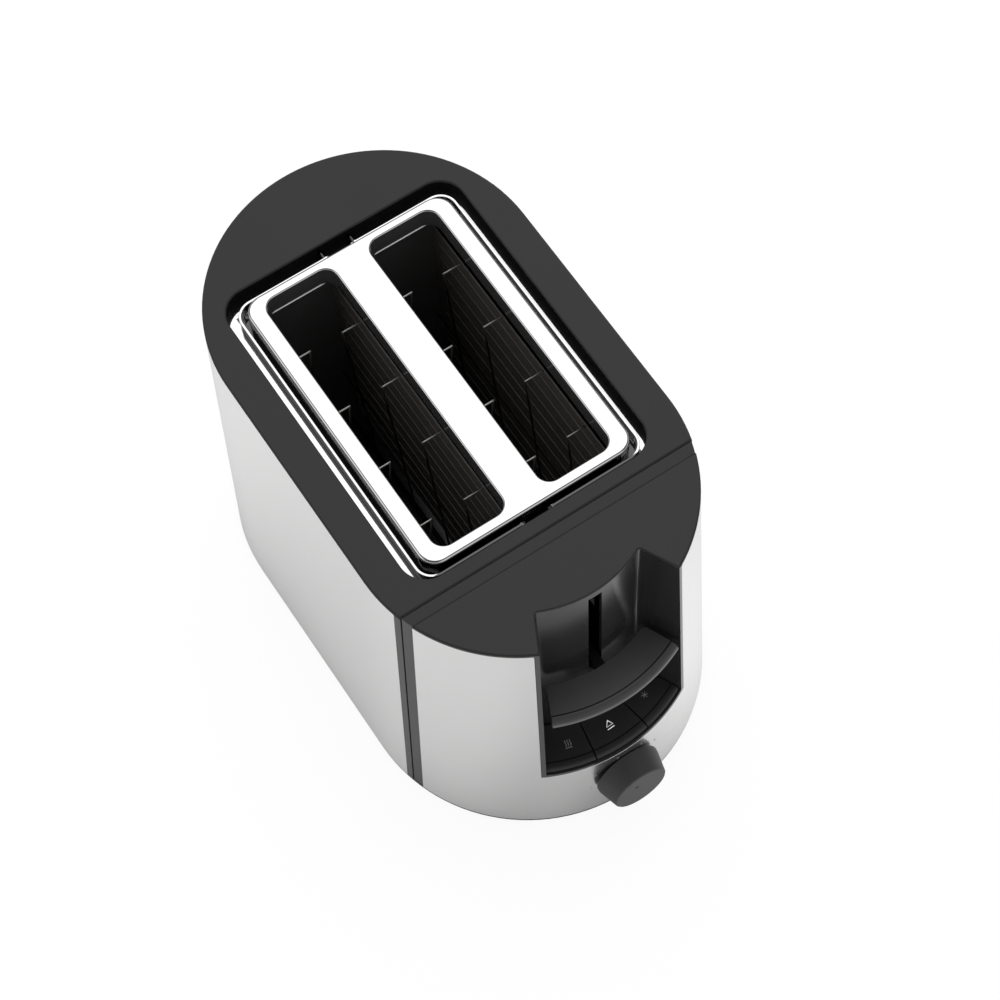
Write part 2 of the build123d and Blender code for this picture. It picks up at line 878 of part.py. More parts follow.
# Browning control
def knob_frame(offset):
    outward = Vector(0, knob_out_y, knob_out_z)
    return Plane(origin=Vector(0, knob_foot_y, knob_z) + outward * offset, x_dir=(1, 0, 0), z_dir=outward)


def knob_reach(y):
    return (y - knob_foot_y) / knob_out_y


def along_knob(radius, low, high):
    return extrude(knob_frame(low) * Circle(radius), high - low)


def make_dial_knob():
    profile = [(0, 0), (knob_base_radius, 0), (knob_base_radius, knob_skirt),
               (knob_face_radius + cover_bevel, knob_depth - cover_bevel),
               (knob_face_radius, knob_depth), (0, knob_depth)]
    body = revolve(make_face(Plane.XZ * Polyline(*profile, close=True)), Axis.Z)
    turn = math.radians(knob_pip_angle)
    pip = Sphere(knob_pip_radius)
    body -= Pos(-knob_pip_r * math.sin(turn), knob_pip_r * math.cos(turn), knob_depth) * pip
    return knob_frame(knob_wall_gap) * body - along_knob(shaft_radius, knob_wall_gap, shaft_grip)


def make_knob_shaft():
    return along_knob(shaft_radius, knob_reach(pot_front + pot_depth / 2), shaft_grip)


def make_potentiometer():
    body = block(-pot_half_width, pot_half_width, pot_front, pot_front + pot_depth,
                 pot_low, pot_low + pot_height)
    bore_end = pot_front + pot_depth / 2 + slide_gap
    return body - along_knob(shaft_radius + running_fit, knob_reach(bore_end), 0)


def make_main_board():
    return block(-main_board_half_width, main_board_half_width, main_board_y - board_thickness, main_board_y,
                 floor_top, floor_top + main_board_height)


# Crumb tray
def make_crumb_tray():
    back = end_centre + wall_radius(tray_handle_top) - tray_handle_wall
    side = tray_half_width
    tray = block(-side, side, tray_front, back, tray_floor, tray_floor + tray_sheet + tray_wall)
    tray -= block(-side + tray_sheet, side - tray_sheet, tray_front + tray_sheet, back,
                  tray_floor + tray_sheet, tray_floor + tray_sheet + tray_wall)
    return tray & hull(tray_handle_wall + running_fit, tray_floor, tray_handle_top)


def make_tray_handle():
    handle = hull_ring(0, tray_handle_wall, shell_low + slide_gap, tray_handle_top)
    side = tray_half_width
    handle &= block(-side, side, end_centre, body_back, shell_low, tray_handle_top)
    grip_y = body_back + tray_grip_radius - tray_grip_depth
    return handle - post(0, grip_y, tray_grip_radius, shell_low, tray_handle_top)


# Mains inlet
def gland_frame():
    turn = math.radians(gland_angle)
    outward = Vector(math.sin(turn), -math.cos(turn), 0)
    reach = wall_radius(gland_z - gland_flange)
    return Plane(origin=Vector(0, end_centre, gland_z) + outward * reach, z_dir=outward)


def gland_post(radius):
    return extrude(gland_frame().offset(-gland_length) * Circle(radius), gland_length)


def make_cable_gland():
    gland = gland_post(gland_barrel) + extrude(gland_frame() * Circle(gland_flange), gland_flange_sheet)
    bore = gland_frame().offset(-gland_length) * Circle(gland_bore)
    bore = extrude(bore, gland_length + gland_flange_sheet)
    return gland - bore


def make_terminal_block():
    front = rear_bulkhead_y + sheet
    half = terminal_width / 2
    body = block(terminal_x - half, terminal_x + half, front, front + terminal_depth, terminal_low,
                 terminal_low + terminal_height)
    for pole in range(terminal_poles):
        x = terminal_x - half + terminal_width * (pole + 0.5) / terminal_poles
        body -= post(x, front + terminal_depth / 2, terminal_hole_radius, terminal_low + terminal_height / 2,
                     terminal_low + terminal_height)
    return body


def make_nodes():
    nodes = {
        "base_pan": make_base_pan(),
        "feet": make_feet(),
        "base_screws": make_base_screws(),
        "chassis_screws": make_chassis_screws(),
        "rear_shell": make_rear_shell(),
        "front_shell": make_front_shell(),
        "rear_frame": make_rear_frame(),
        "front_frame": make_front_frame(),
        "top_cover": make_top_cover(),
        "front_cover": make_front_cover(),
        "slot_plate": make_slot_plate(),
        "slot_liners": make_slot_liners(),
        "bun_rail_left": make_bun_rail(-1),
        "bun_rail_right": make_bun_rail(1),
        "lever_handle": make_lever_handle(),
        "lever_arm": make_lever_arm(),
        "carriage_bridge": make_carriage_bridge(),
        "slide_bush": make_slide_bush(),
        "guide_rod": make_guide_rod(),
        "return_spring": make_return_spring(),
        "lift_rack_left": make_lift_rack(-1),
        "lift_rack_right": make_lift_rack(1),
        "front_bulkhead": make_bulkhead(front_bulkhead_y, -1, True),
        "rear_bulkhead": make_bulkhead(rear_bulkhead_y, 1, False),
        "left_reflector": make_reflector(-1),
        "right_reflector": make_reflector(1),
        "magnet_core": make_magnet_core(),
        "magnet_coil": make_magnet_coil(),
        "armature": make_armature(),
        "contact_block": make_contact_block(),
        "contact_blades": make_contact_blades(),
        "reheat_button": make_button(-recess_half_angle, -button_split_angle, -side_button_angle()),
        "stop_button": make_button(-button_split_angle, button_split_angle, 0),
        "defrost_button": make_button(button_split_angle, recess_half_angle, side_button_angle()),
        "button_board": make_button_board(),
        "tact_switches": make_tact_switches(),
        "dial_knob": make_dial_knob(),
        "knob_shaft": make_knob_shaft(),
        "potentiometer": make_potentiometer(),
        "main_board": make_main_board(),
        "crumb_tray": make_crumb_tray(),
        "tray_handle": make_tray_handle(),
        "cable_gland": make_cable_gland(),
        "terminal_block": make_terminal_block(),
    }
    for name, side in (("left", -1), ("right", 1)):
        inner_hook = guard_hook_reach(side * slot_inner, -side)
        outer_hook = guard_hook_reach(side * slot_outer, side)
        nodes[f"guard_rack_{name}_inner"] = make_guard_rack(side * guard_open_inner, side, inner_hook)
        nodes[f"guard_rack_{name}_outer"] = make_guard_rack(side * guard_open_outer, -side, outer_hook)
        for place, x, facing in (("inner", board_inner_x, 1), ("outer", board_outer_x, -1)):
            nodes[f"heater_board_{name}_{place}"] = make_heater_board(side * x)
            nodes[f"heater_ribbon_{name}_{place}"] = make_heater_ribbon(side * x, side * facing)
    return nodes


os.makedirs("parts", exist_ok=True)
for node_name, piece in make_nodes().items():
    export_step(Pos(0, frame_shift, 0) * piece, f"parts/{node_name}.step")
print("frame shift", round(frame_shift, 4))
print("guard tilt", round(guard_tilt, 4))
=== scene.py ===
import json
import math

import bmesh
import bpy
from mathutils import Matrix, Vector

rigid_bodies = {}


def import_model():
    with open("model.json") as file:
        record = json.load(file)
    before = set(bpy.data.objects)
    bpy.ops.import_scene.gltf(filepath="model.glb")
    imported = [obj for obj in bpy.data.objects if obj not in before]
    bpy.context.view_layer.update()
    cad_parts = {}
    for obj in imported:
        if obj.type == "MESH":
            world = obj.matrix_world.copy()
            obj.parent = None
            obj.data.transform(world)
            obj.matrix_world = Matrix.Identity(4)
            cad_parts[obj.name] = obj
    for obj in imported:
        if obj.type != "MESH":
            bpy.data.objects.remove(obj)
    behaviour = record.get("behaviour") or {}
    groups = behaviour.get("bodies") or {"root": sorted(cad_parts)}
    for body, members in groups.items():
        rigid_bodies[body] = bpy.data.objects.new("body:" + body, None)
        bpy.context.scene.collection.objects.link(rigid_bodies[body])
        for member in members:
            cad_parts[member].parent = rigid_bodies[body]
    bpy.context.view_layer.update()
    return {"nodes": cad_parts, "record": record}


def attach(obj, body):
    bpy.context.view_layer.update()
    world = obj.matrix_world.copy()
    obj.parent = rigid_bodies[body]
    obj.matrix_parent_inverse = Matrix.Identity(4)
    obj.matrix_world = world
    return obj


for stray in list(bpy.data.objects):
    bpy.data.objects.remove(stray)
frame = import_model()
nodes = frame["nodes"]
slotOf = {part["node"]: part["material_slot"] for part in frame["record"]["subparts"]}
print("frame loaded:", len(nodes), "nodes")

# sizes shared by the pieces, in millimetres about the middle of the body's plan
layout = {"shiftY": 6.0921, "endCentre": 58.4, "topHalfWidth": 80.0, "coverTop": 195.2, "draft": 2.21,
          "knobHeight": 33.5, "knobFront": 12.8}
draft = math.radians(layout["draft"])
perMetre = 1000  # millimetres


def spot(x, y, z):  # millimetres about the body to metres in the frame
    return Vector((x, y + layout["shiftY"], z)) / perMetre


def wallRadius(z):  # the wall of the control end flares towards the floor
    return layout["topHalfWidth"] + (layout["coverTop"] - z) * math.tan(draft)


# a shader socket that adds up like a number
class Wire:
    def __init__(self, finish, socket):
        self.finish = finish
        self.socket = socket

    def maths(self, operation, first, second):
        return self.finish.node("ShaderNodeMath", {"operation": operation}, {0: first, 1: second})

    def __add__(self, other):
        return self.maths("ADD", self, other)

    def __radd__(self, other):
        return self.maths("ADD", other, self)

    def __sub__(self, other):
        return self.maths("SUBTRACT", self, other)

    def __rsub__(self, other):
        return self.maths("SUBTRACT", other, self)

    def __mul__(self, other):
        return self.maths("MULTIPLY", self, other)

    def __rmul__(self, other):
        return self.maths("MULTIPLY", other, self)


class Finish:  # one procedural material round a Principled shader, or the world's nodes
    def __init__(self, name, constants, world=None):
        self.material = world or bpy.data.materials.new(name)
        self.material.use_nodes = True
        self.tree = self.material.node_tree
        self.tree.nodes.clear()
        self.output = self.tree.nodes.new("ShaderNodeOutputWorld" if world else "ShaderNodeOutputMaterial")
        if not world:
            self.shader = self.tree.nodes.new("ShaderNodeBsdfPrincipled")
            self.tree.links.new(self.shader.outputs[0], self.output.inputs[0])
            self.feed(constants)

    def plug(self, socket, value):
        if isinstance(value, Wire):
            self.tree.links.new(value.socket, socket)
        else:
            socket.default_value = value

    def node(self, kind, settings, sockets, output=0):
        made = self.tree.nodes.new(kind)
        for key, value in settings.items():
            setattr(made, key, value)
        for key, value in sockets.items():
            self.plug(made.inputs[key], value)
        return Wire(self, made.outputs[output])

    def feed(self, sockets):
        for key, value in sockets.items():
            self.plug(self.shader.inputs[key], value)

    def place(self):
        return self.node("ShaderNodeTexCoord", {}, {}, "Object")

    def vector(self, operation, first, second, output=0):
        return self.node("ShaderNodeVectorMath", {"operation": operation}, {0: first, 1: second}, output)

    def ramp(self, value, start, end, top=1.0, course="LINEAR"):  # 0 at the start, top from the end on
        sockets = {"Value": value, "From Min": start, "From Max": end, "To Max": top}
        return self.node("ShaderNodeMapRange", {"interpolation_type": course}, sockets)

    def noise(self, scale, detail, where=None):
        sockets = {"Vector": where or self.place(), "Scale": scale, "Detail": detail}
        return self.node("ShaderNodeTexNoise", {}, sockets, "Fac")

    def between(self, mask, low, high):  # by number, as a Mix node's colour sockets share their names
        return self.node("ShaderNodeMix", {"data_type": "RGBA"}, {0: mask, 6: low, 7: high}, 2)

    def bump(self, height, strength, distance):
        sockets = {"Height": height, "Strength": strength, "Distance": distance}
        return self.node("ShaderNodeBump", {}, sockets)

    def rise(self, low, high, axis=2):  # 0 below one level of the frame, 1 above the other
        level = self.node("ShaderNodeSeparateXYZ", {}, {0: self.place()}, axis)
        return self.ramp(level, low, high)

    def reach(self, centre):  # how far a point lies from an upright axis
        arm = self.vector("SUBTRACT", self.place(), centre)
        flat = self.vector("MULTIPLY", arm, (1, 1, 0))
        return self.node("ShaderNodeVectorMath", {"operation": "LENGTH"}, {0: flat}, "Value")

    def ring(self, radius, halfWidth, edge):  # 1 in a thin ring round the axis of the control end
        across = self.reach(spot(0, -layout["endCentre"], 0)) - radius
        off = self.node("ShaderNodeMath", {"operation": "ABSOLUTE"}, {0: across})
        return self.ramp(off, halfWidth + edge, halfWidth)

    def knobFace(self, deep, shallow):  # 1 on the flat face of the knob, whose axis is square on the wall
        outward = Vector((0, -math.cos(draft), math.sin(draft)))
        foot = spot(0, -layout["endCentre"] - wallRadius(layout["knobHeight"]), layout["knobHeight"])
        face = foot.dot(outward) + layout["knobFront"] / perMetre
        along = self.vector("DOT_PRODUCT", self.place(), outward, "Value")
        return self.ramp(along, face - deep, face - shallow)

    def within(self, lows, highs, edge):  # 1 inside a box of the frame, with soft sides
        inside = 1.0
        for axis, (low, high) in enumerate(zip(lows, highs)):
            inside = inside * self.rise(low - edge, low, axis) * (1 - self.rise(high, high + edge, axis))
        return inside


def grey(level, tint=(1, 1, 1)):
    return (level * tint[0], level * tint[1], level * tint[2], 1)


middle = 0.5  # of what a noise gives
shadeEdge = 0.0003  # how softly a painted shade box ends, in metres


# painted shade: each of a look's boxes is darkened to its shade tone
def paintShadeBoxes(finish, tone, look):
    for lows, highs in look.get("shadeBoxes", []):
        tone = finish.between(finish.within(lows, highs, shadeEdge), tone, grey(look["shadeTone"]))
    return tone


# moulded plastics: eroded-mould grain, faint cloudiness, a touch of handling wear in the gloss
mouldPlan = {"ior": 1.5, "grainDetail": 3.0, "cloudDetail": 2.0, "wearSpread": 0.06, "grainDepth": 0.0002}


def moulded(name, look):
    finish = Finish(name, {"IOR": mouldPlan["ior"], "Specular IOR Level": look["specular"]})
    grain = finish.noise(look["grainScale"], mouldPlan["grainDetail"])
    cloud = finish.noise(look["cloudScale"], mouldPlan["cloudDetail"])
    tone = finish.between(cloud, grey(look["dark"]), grey(look["light"]))
    wear = (cloud - middle) * mouldPlan["wearSpread"]
    rough = look["roughness"] + (grain - middle) * look["roughSpread"] + wear
    if "wallRough" in look:  # below the rim, the walls take this share of the roughness and a painted tone: painted shade on the walls of the covers, frames and base, painted light on the recess walls
        top = finish.rise(*look["rim"])
        rough = rough * (look["wallRough"] + top * (1 - look["wallRough"]))
        tone = finish.between(top, grey(look["wallShadeAndLight"]), tone)
    # painted light: the knob's flat face is paler than its sides
    if "faceLightTone" in look:
        tone = finish.between(finish.knobFace(*look["faceEdge"]), tone, grey(look["faceLightTone"]))
    if "lipHighlightBelow" in look:  # painted highlight: the lever's lip is paler below this height
        tone = finish.between(finish.rise(*look["lipHighlightBelow"]), grey(look["lipHighlightTone"]), tone)
    tone = paintShadeBoxes(finish, tone, look)
    # painted shade: a dark ring stands in for the shade in the groove of the lever and of the buttons
    if "groove" in look:
        tone = finish.between(finish.ring(*look["groove"]), tone, grey(look["grooveShadeTone"]))
    finish.feed({"Base Color": tone, "Roughness": rough,
                 "Normal": finish.bump(grain, look["grainStrength"], mouldPlan["grainDepth"])})
    # painted light: the white print and the bright liner strips glow though they are no lamps
    if "glow" in look:
        finish.feed({"Emission Color": tone, "Emission Strength": look["glow"]})
    return finish


# sheet and wire metals: a grain drawn along one direction
drawPlan = {"lineDetail": 4.0, "cloudDetail": 2.0, "lineShare": 0.7, "wearSpread": 0.05, "lineDepth": 0.0001}


def drawn(name, look):
    finish = Finish(name, {"Metallic": look["metallic"], "Anisotropic": look["anisotropic"]})
    stretched = finish.vector("MULTIPLY", finish.place(), look["lines"])
    lines = finish.noise(1.0, drawPlan["lineDetail"], stretched)
    cloud = finish.noise(look["cloudScale"], drawPlan["cloudDetail"])
    shade = lines * drawPlan["lineShare"] + cloud * (1 - drawPlan["lineShare"])
    tone = finish.between(shade, grey(look["dark"], look["tint"]), grey(look["light"], look["tint"]))
    # the wire is near black below this height band and keeps its own tone above it
    if "darkBelow" in look:
        tone = finish.between(finish.rise(*look["brightFrom"]), look["darkBelow"], tone)
    tone = paintShadeBoxes(finish, tone, look)
    wear = (cloud - middle) * drawPlan["wearSpread"]
    rough = look["roughness"] + (lines - middle) * look["roughSpread"] + wear
    finish.feed({"Base Color": tone, "Roughness": rough,
                 "Normal": finish.bump(lines, look["lineStrength"], drawPlan["lineDepth"])})
    return finish


# sheet with crystals or flakes in it
flakePlan = {"cloudDetail": 3.0, "flakeShare": 0.6, "flakeStrength": 0.15, "flakeDepth": 0.0001}


def flaked(name, look):
    finish = Finish(name, {"Metallic": look["metallic"]})
    sockets = {"Vector": finish.place(), "Scale": look["flakeScale"]}
    flake = finish.node("ShaderNodeTexVoronoi", {}, sockets, "Distance")
    cloud = finish.noise(look["cloudScale"], flakePlan["cloudDetail"])
    shade = flake * flakePlan["flakeShare"] + cloud * (1 - flakePlan["flakeShare"])
    tone = finish.between(shade, grey(look["dark"], look["tint"]), grey(look["light"], look["tint"]))
    rough = look["roughness"] + (shade - middle) * look["roughSpread"]
    finish.feed({"Base Color": tone, "Roughness": rough,
                 "Normal": finish.bump(flake, flakePlan["flakeStrength"], flakePlan["flakeDepth"])})
    return finish


plasticLooks = {
    "coverBlack": {"dark": 0.036, "light": 0.041, "roughness": 0.52, "roughSpread": 0.10, "specular": 0.2,
                   "grainScale": 2600.0, "grainStrength": 0.04, "cloudScale": 30.0,
                   # painted shade: the walls below the rim are darker than the top
                   "wallRough": 1.6, "wallShadeAndLight": 0.004, "rim": (0.1936, 0.1941)},
    # painted light: the lever's black is paler than the other black mouldings, standing in for light its
    # recess does not get
    "leverBlack": {"dark": 0.070, "light": 0.082, "roughness": 0.36, "roughSpread": 0.06, "specular": 0.45,
                   "grainScale": 3000.0, "grainStrength": 0.05, "cloudScale": 45.0,
                   "lipHighlightBelow": (0.1184, 0.1198), "lipHighlightTone": 0.17,
                   "groove": (0.08014, 0.00022, 0.0001), "grooveShadeTone": 0.006},
    "buttonBlack": {"dark": 0.040, "light": 0.048, "roughness": 0.34, "roughSpread": 0.05, "specular": 0.4,
                    "grainScale": 3400.0, "grainStrength": 0.04, "cloudScale": 60.0,
                    "groove": (0.07996, 0.0002, 0.0001), "grooveShadeTone": 0.004},
    "knobBlack": {"dark": 0.052, "light": 0.060, "roughness": 0.5, "roughSpread": 0.08, "specular": 0.5,
                  "grainScale": 2800.0, "grainStrength": 0.08, "cloudScale": 60.0,
                  "faceLightTone": 0.10, "faceEdge": (0.0006, 0.0002)},
    "linerEnamel": {"dark": 0.075, "light": 0.095, "roughness": 0.09, "roughSpread": 0.04, "specular": 0.5,
                    "grainScale": 900.0, "grainStrength": 0.02, "cloudScale": 40.0},
    "footRubber": {"dark": 0.018, "light": 0.026, "roughness": 0.75, "roughSpread": 0.15, "specular": 0.3,
                   "grainScale": 1800.0, "grainStrength": 0.25, "cloudScale": 80.0},
    # painted shade: the nylon parts are near black, darker than black plastic, standing in for the shade they
    # sit in
    "paintedShadeNylon": {"dark": 0.004, "light": 0.006, "roughness": 0.45, "roughSpread": 0.08, "specular": 0.5,
                  "grainScale": 2200.0, "grainStrength": 0.06, "cloudScale": 60.0},
    "boardResist": {"dark": 0.05, "light": 0.09, "roughness": 0.35, "roughSpread": 0.08, "specular": 0.5,
                    "grainScale": 700.0, "grainStrength": 0.05, "cloudScale": 150.0},
    "printWhite": {"dark": 0.85, "light": 0.95, "roughness": 0.45, "roughSpread": 0.06, "specular": 0.4,
                   "grainScale": 4000.0, "grainStrength": 0.03, "cloudScale": 300.0, "glow": 0.8},
    "paintedEdgeGlint": {"dark": 0.80, "light": 0.95, "roughness": 0.35, "roughSpread": 0.15, "specular": 0.6,
                "grainScale": 1500.0, "grainStrength": 0.05, "cloudScale": 120.0, "glow": 0.15},
    "printGrey": {"dark": 0.40, "light": 0.46, "roughness": 0.45, "roughSpread": 0.06, "specular": 0.4,
                  "grainScale": 4000.0, "grainStrength": 0.03, "cloudScale": 300.0},
}
coverSeam = (-0.10, -0.0824, 0.19), (0.10, -0.0810, 0.20)  # painted shade along the front cover's rear edge, where it falls away
# painted shade darkens the walls of the frames, base and handle below their rim; the recess walls of the
# front cover get painted light instead
plasticLooks["hoopBlack"] = dict(plasticLooks["coverBlack"], wallRough=0.38, wallShadeAndLight=0.012)
plasticLooks["recessBlack"] = dict(plasticLooks["coverBlack"], dark=0.023, light=0.027, specular=0.5,
                                   wallRough=0.38, wallShadeAndLight=0.035, shadeTone=0.004, shadeBoxes=[coverSeam])
# painted shade darkens the steel in the gap under the rails, on their front run and on their pins
channelGap = (-0.0573, -0.0667, 0.18), (0.0573, 0.0955, 0.1938)
railFront = (-0.0600, -0.0750, 0.18), (0.0600, -0.0668, 0.25)
railPins = (-0.0600, 0.0973, 0.18), (0.0600, 0.1100, 0.25)
bareTint = (1, 1, 1)
warmTint = (1.0, 0.94, 0.88)
metalLooks = {
    "brushedSteel": {"dark": 0.86, "light": 0.92, "tint": (1.0, 1.0, 0.995), "metallic": 1.0,
                     "anisotropic": 0.3, "lines": (12.0, 12.0, 5200.0), "cloudScale": 14.0,
                     "roughness": 0.26, "roughSpread": 0.05, "lineStrength": 0.006},
    "polishedSteel": {"dark": 0.92, "light": 0.95, "tint": bareTint, "metallic": 1.0,
                      "anisotropic": 0.0, "lines": (30.0, 30.0, 30.0), "cloudScale": 90.0,
                      "roughness": 0.06, "roughSpread": 0.02, "lineStrength": 0.002,
                      "shadeTone": 0.10, "shadeBoxes": [channelGap]},
    "rackWire": {"dark": 0.50, "light": 0.66, "tint": (1.0, 0.985, 0.96), "metallic": 1.0,
                 "anisotropic": 0.0, "lines": (900.0, 120.0, 120.0), "cloudScale": 70.0,
                 "roughness": 0.3, "roughSpread": 0.12, "lineStrength": 0.05,
                 "darkBelow": (0.045, 0.034, 0.028, 1), "brightFrom": (0.160, 0.177)},
    "turnedSteel": {"dark": 0.50, "light": 0.62, "tint": bareTint, "metallic": 1.0,
                    "anisotropic": 0.0, "lines": (200.0, 200.0, 4000.0), "cloudScale": 60.0,
                    "roughness": 0.25, "roughSpread": 0.1, "lineStrength": 0.08},
    "heatingRibbon": {"dark": 0.14, "light": 0.17, "tint": warmTint, "metallic": 0.1,
                      "anisotropic": 0.0, "lines": (50.0, 400.0, 400.0), "cloudScale": 90.0,
                      "roughness": 0.55, "roughSpread": 0.12, "lineStrength": 0.06},
    "bushBrass": {"dark": 0.5, "light": 0.62, "tint": (1.0, 0.76, 0.40), "metallic": 1.0,
                  "anisotropic": 0.0, "lines": (200.0, 200.0, 3000.0), "cloudScale": 60.0,
                  "roughness": 0.3, "roughSpread": 0.1, "lineStrength": 0.08},
    "coilCopper": {"dark": 0.42, "light": 0.60, "tint": (1.0, 0.55, 0.32), "metallic": 1.0,
                   "anisotropic": 0.0, "lines": (60.0, 60.0, 2400.0), "cloudScale": 60.0,
                   "roughness": 0.35, "roughSpread": 0.15, "lineStrength": 0.4},
    "traySheet": {"dark": 0.46, "light": 0.55, "tint": bareTint, "metallic": 1.0,
                  "anisotropic": 0.0, "lines": (900.0, 20.0, 900.0), "cloudScale": 25.0,
                  "roughness": 0.38, "roughSpread": 0.12, "lineStrength": 0.05},
}
metalLooks["railSteel"] = dict(metalLooks["polishedSteel"], shadeTone=0.12, shadeBoxes=[railFront, railPins])
flakeLooks = {
    "darkChassis": {"dark": 0.10, "light": 0.13, "tint": bareTint, "metallic": 0.2, "flakeScale": 260.0,
                    "cloudScale": 40.0, "roughness": 0.45, "roughSpread": 0.15},
    "micaBoard": {"dark": 0.14, "light": 0.18, "tint": warmTint, "metallic": 0.0, "flakeScale": 420.0,
                  "cloudScale": 60.0, "roughness": 0.55, "roughSpread": 0.2},
    "coreIron": {"dark": 0.12, "light": 0.2, "tint": bareTint, "metallic": 0.8, "flakeScale": 700.0,
                 "cloudScale": 60.0, "roughness": 0.5, "roughSpread": 0.15},
}
finishes = {name: moulded(name, look) for name, look in plasticLooks.items()}
finishes.update({name: drawn(name, look) for name, look in metalLooks.items()})
finishes.update({name: flaked(name, look) for name, look in flakeLooks.items()})
slotFinish = {
    "black_moulding": "coverBlack", "brushed_steel": "brushedSteel", "polished_steel": "polishedSteel",
    "control_black": "leverBlack", "liner_black": "linerEnamel", "chassis_sheet": "darkChassis",
    "rack_wire": "rackWire", "mica": "micaBoard", "heating_ribbon": "heatingRibbon",
    "machined_steel": "turnedSteel", "mechanism_plastic": "paintedShadeNylon", "bush_brass": "bushBrass",
    "core_iron": "coreIron", "coil_copper": "coilCopper", "circuit_board": "boardResist",
    "tray_sheet": "traySheet", "foot_rubber": "footRubber",
}
nodeFinish = {  # pieces that differ from the others of their slot
    "reheat_button": "buttonBlack", "stop_button": "buttonBlack", "defrost_button": "buttonBlack",
    "dial_knob": "knobBlack", "guide_rod": "darkChassis", "front_cover": "recessBlack",
    "lever_arm": "paintedShadeNylon", "rear_frame": "hoopBlack", "front_frame": "hoopBlack",
    "base_pan": "hoopBlack", "tray_handle": "hoopBlack",
    "bun_rail_left": "railSteel", "bun_rail_right": "railSteel",
}


def coat(piece, name):
    piece.data.materials.clear()
    piece.data.materials.append(finishes[name].material)


for name, node in nodes.items():
    coat(node, nodeFinish.get(name, slotFinish[slotOf[name]]))
print("finishes made:", len(finishes))


def dress(piece, body, finishName):  # a new piece rides on its body and gets its finish
    bpy.context.scene.collection.objects.link(piece)
    coat(piece, finishName)
    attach(piece, body)


def roundBar(name, radius, roundness):
    curve = bpy.data.curves.new(name, "CURVE")
    curve.dimensions = "3D"
    curve.bevel_depth = radius / perMetre
    curve.bevel_resolution = roundness
    return curve


def addLine(curve, kind, places):
    line = curve.splines.new(kind)
    line.points.add(len(places) - 1)
    for point, place in zip(line.points, places):
        point.co = (*place, 1)
    return line


# function signs printed on the buttons, drawn in millimetres right and up about each sign's middle
signPlan = {
    "radius": 72.0, "top": 61.5, "flat": 0.2, "roundness": 3, "waveOrder": 3,
    "wave": [(0.2, 1.5), (-0.3, 0.8), (0.05, 0.0), (0.35, -0.85), (-0.15, -1.75)],
    "waveStarts": (-1.0, 0.12, 1.34),
    "starMiddle": (-0.3, -0.4), "starArm": 1.75, "starTurns": (30, 90, 150),
}
steamWaves = [[(start + sway, height) for sway, height in signPlan["wave"]]
              for start in signPlan["waveStarts"]]


def starStroke(degrees):
    right, up = signPlan["starMiddle"]
    across = signPlan["starArm"] * math.cos(math.radians(degrees))
    along = signPlan["starArm"] * math.sin(math.radians(degrees))
    return [(right - across, up - along), (right + across, up + along)]


signs = {
    "reheat_sign": {"angle": -17.7, "body": "reheat", "finish": "printGrey", "stroke": 0.22,
                    "strokes": [[(-1.6, -2.47), (1.75, -2.47)]] + steamWaves},
    "stop_sign": {"angle": 0.0, "body": "stop", "finish": "printWhite", "stroke": 0.17,
                  "strokes": [[(0.1, 2.15), (-2.1, -0.6), (1.45, -0.5), (0.1, 2.15)],
                              [(-2.35, -1.95), (1.5, -1.75)]]},
    "defrost_sign": {"angle": 18.0, "body": "defrost", "finish": "printGrey", "stroke": 0.16,
                     "strokes": [starStroke(degrees) for degrees in signPlan["starTurns"]]},
}
for name, plan in signs.items():
    curve = roundBar(name, plan["stroke"], signPlan["roundness"])
    curve.use_fill_caps = True
    for points in plan["strokes"]:
        wavy = points in steamWaves
        places = [(right / perMetre, up / perMetre, 0) for right, up in points]
        line = addLine(curve, "NURBS" if wavy else "POLY", places)
        if wavy:
            line.order_u = signPlan["waveOrder"]
            line.use_endpoint_u = True
    turn = math.radians(plan["angle"])
    front = layout["endCentre"] + signPlan["radius"] * math.cos(turn)
    foot = spot(signPlan["radius"] * math.sin(turn), -front, signPlan["top"])
    flatten = Matrix.Scale(signPlan["flat"], 4, (0, 0, 1))
    sign = bpy.data.objects.new(name, curve)
    sign.matrix_world = Matrix.Translation(foot) @ Matrix.Rotation(turn, 4, "Z") @ flatten
    dress(sign, plan["body"], plan["finish"])
print("signs drawn:", len(signs))

# numbers round the browning dial, printed on the drafted steel wall
dialPlan = {"radius": 19.2, "size": 2.7, "proud": 0.03,
            "numbers": {"1": -99.0, "2": -58.0, "3": -13.5, "4": 29.0, "5": 68.0, "6": 106.0}}
for number, degrees in dialPlan["numbers"].items():
    turn = math.radians(degrees)
    x = dialPlan["radius"] * math.sin(turn)
    z = layout["knobHeight"] + dialPlan["radius"] * math.cos(turn)
    radius = wallRadius(z)
    bearing = math.asin(x / radius)
    text = bpy.data.curves.new("dial_number_" + number, "FONT")
    text.body = number
    text.size = dialPlan["size"] / perMetre
    text.align_x = "CENTER"
    text.align_y = "CENTER"
    text.extrude = dialPlan["proud"] / perMetre
    label = bpy.data.objects.new("dial_number_" + number, text)
    across = Vector((math.cos(bearing), math.sin(bearing), 0))
    outward = Vector((math.sin(bearing), -math.cos(bearing), math.tan(draft))).normalized()
    facing = Matrix((across, outward.cross(across), outward)).transposed()
    foot = spot(x, -layout["endCentre"] - radius * math.cos(bearing), z)
    label.matrix_world = Matrix.Translation(foot) @ facing.to_4x4()
    dress(label, "housing", "printGrey")
print("dial numbered:", len(dialPlan["numbers"]))

